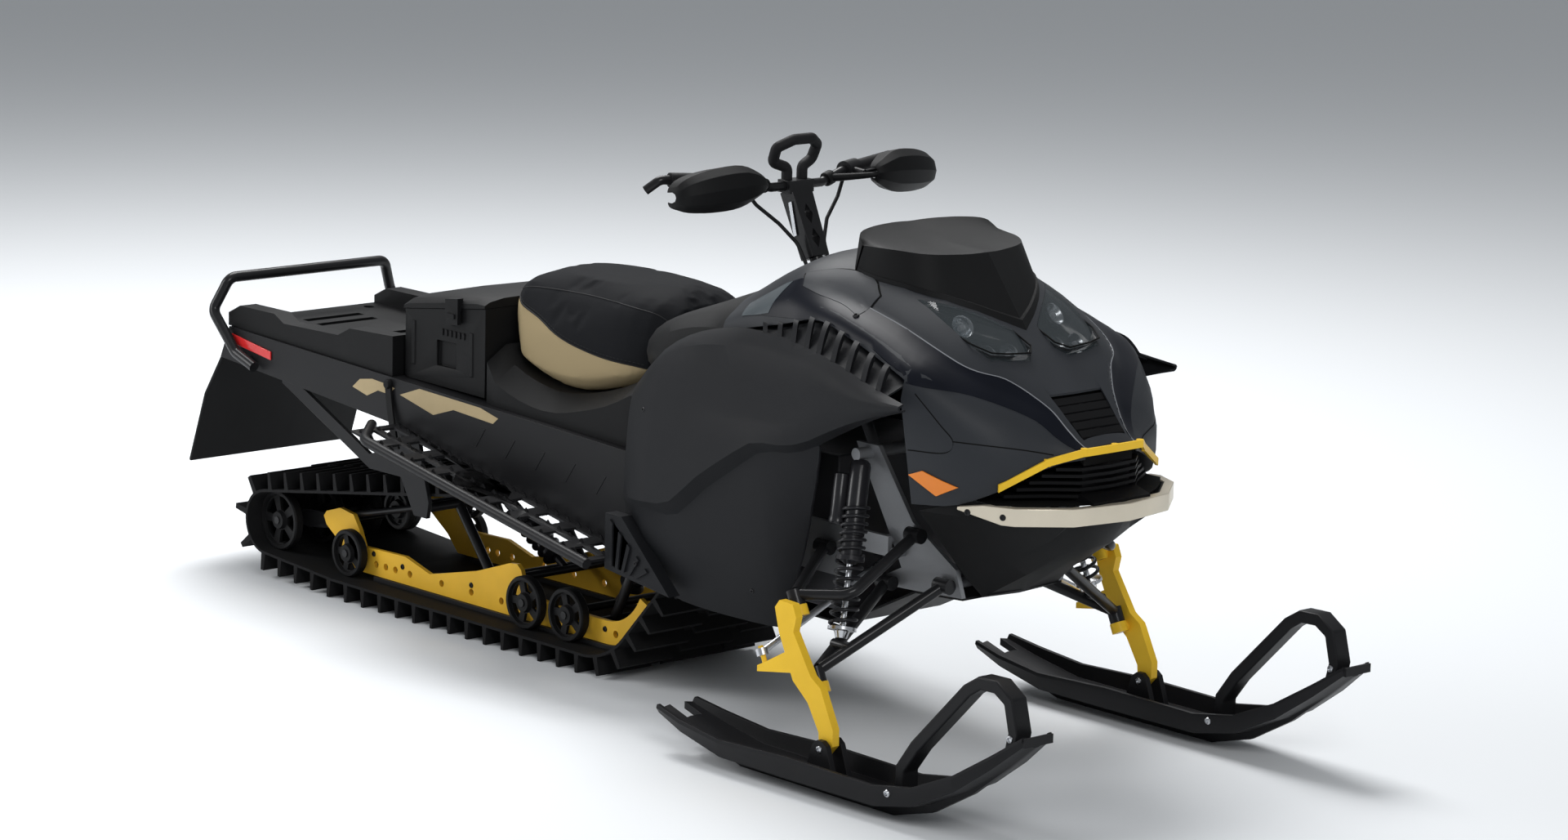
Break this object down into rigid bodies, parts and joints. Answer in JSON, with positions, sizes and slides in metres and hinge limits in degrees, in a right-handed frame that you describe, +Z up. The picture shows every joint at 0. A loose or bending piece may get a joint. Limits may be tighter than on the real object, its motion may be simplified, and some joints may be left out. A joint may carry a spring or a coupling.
{
  "type": "snowmobile",
  "caption": "Wide-track utility snowmobile with steered skis, a lugged drive track, a rider's seat, a lidded storage box and a rear cargo deck.",
  "frame": {"origin": "on the ground under the middle of the machine's length", "axes": "+X forward along the machine, +Y to the rider's left, +Z up"},
  "size_m": [3.414, 1.18, 1.356],
  "materials": {
    "track_rubber": "matt moulded rubber",
    "rail_yellow": "satin yellow",
    "slide_plastic": "low friction plastic",
    "wheel_black": "moulded, rubber rim",
    "dark_steel": "satin black",
    "shock_steel": "satin black",
    "bare_steel": "plated",
    "tunnel_black": "satin black",
    "black_plastic": "fine grain",
    "charcoal_plastic": "satin charcoal",
    "tan_plastic": "satin tan",
    "flap_rubber": "matt",
    "red_lens": "clear red",
    "seat_cover": "grained vinyl",
    "lamp_lens": "clear lens",
    "champagne_metal": "satin champagne",
    "cast_grey": "cast",
    "engine_metal": "cast",
    "yellow_metal": "satin yellow",
    "ski_plastic": "smooth moulded",
    "grip_rubber": "soft grip",
    "control_plastic": "moulded",
    "amber_lens": "clear amber"
  },
  "bodies": {
    "chassis": {"track": "track_rubber", "rails": "rail_yellow", "slide_shoes": "slide_plastic", "idler_wheels": "wheel_black", "rear_wheels": "wheel_black", "skid_arms": "dark_steel", "skid_shocks": "shock_steel", "drive_shaft": "bare_steel", "tunnel": "tunnel_black", "tunnel_braces": "tunnel_black", "running_boards": "tunnel_black", "cargo_deck": "black_plastic", "rear_bumper": "dark_steel", "snow_flap": "flap_rubber", "tail_lamps": "red_lens", "storage_box": "black_plastic", "seat": "seat_cover", "tank_cover": "tan_plastic", "hood": "charcoal_plastic", "headlamps": "lamp_lens", "windshield": "black_plastic", "side_panels": "charcoal_plastic", "belly_pan": "black_plastic", "front_bumper": "champagne_metal", "front_frame": "cast_grey", "engine": "engine_metal", "front_arms": "dark_steel", "front_shocks": "shock_steel", "front_trim": "yellow_metal", "reflectors": "amber_lens", "grilles": "black_plastic"},
    "steering": {"riser": "dark_steel", "handlebar": "dark_steel", "hand_guards": "black_plastic", "grab_loop": "grip_rubber", "grips": "grip_rubber", "controls": "control_plastic"},
    "lid": {"box_lid": "black_plastic"},
    "spindle_right_turn": {"spindle_right": "yellow_metal"},
    "ski_right_turn": {"ski_right": "ski_plastic"},
    "tie_rod_right_turn": {"tie_rod_right": "bare_steel"},
    "spindle_left_turn": {"spindle_left": "yellow_metal"},
    "ski_left_turn": {"ski_left": "ski_plastic"},
    "tie_rod_left_turn": {"tie_rod_left": "bare_steel"}
  },
  "joints": [
    {"name": "steering", "type": "hinge", "parent": "chassis", "child": "steering", "pos_m": [0.434, 0, 1.065], "axis": [-0.44, 0, 0.898], "range_deg": [-33, 33]},
    {"name": "box_lid", "type": "hinge", "parent": "chassis", "child": "lid", "pos_m": [-0.659, 0.24, 0.8175], "axis": [-0.9914, 0, -0.1309], "range_deg": [0, 95]},
    {"name": "spindle_right", "type": "hinge", "parent": "chassis", "child": "spindle_right_turn", "pos_m": [0.992, -0.478, 0.233], "axis": [-0.4269, 0, 0.9043], "range_deg": [-27, 27]},
    {"name": "ski_right", "type": "hinge", "parent": "spindle_right_turn", "child": "ski_right_turn", "pos_m": [1.062, -0.511, 0.105], "axis": [0, -1, 0], "range_deg": [-8, 15]},
    {"name": "tie_rod_right", "type": "hinge", "parent": "spindle_right_turn", "child": "tie_rod_right_turn", "pos_m": [0.846, -0.511, 0.258], "axis": [-0.4269, 0, 0.9043], "range_deg": [-27, 27]},
    {"name": "spindle_left", "type": "hinge", "parent": "chassis", "child": "spindle_left_turn", "pos_m": [0.992, 0.478, 0.233], "axis": [-0.4269, 0, 0.9043], "range_deg": [-27, 27]},
    {"name": "ski_left", "type": "hinge", "parent": "spindle_left_turn", "child": "ski_left_turn", "pos_m": [1.062, 0.511, 0.105], "axis": [0, -1, 0], "range_deg": [-8, 15]},
    {"name": "tie_rod_left", "type": "hinge", "parent": "spindle_left_turn", "child": "tie_rod_left_turn", "pos_m": [0.846, 0.511, 0.258], "axis": [-0.4269, 0, 0.9043], "range_deg": [-27, 27]}
  ],
  "couplings": [
    {"joint": "spindle_right", "follows": "steering", "ratio": 0.8},
    {"joint": "tie_rod_right", "follows": "steering", "ratio": -0.8},
    {"joint": "spindle_left", "follows": "steering", "ratio": 0.8},
    {"joint": "tie_rod_left", "follows": "steering", "ratio": -0.8}
  ]
}
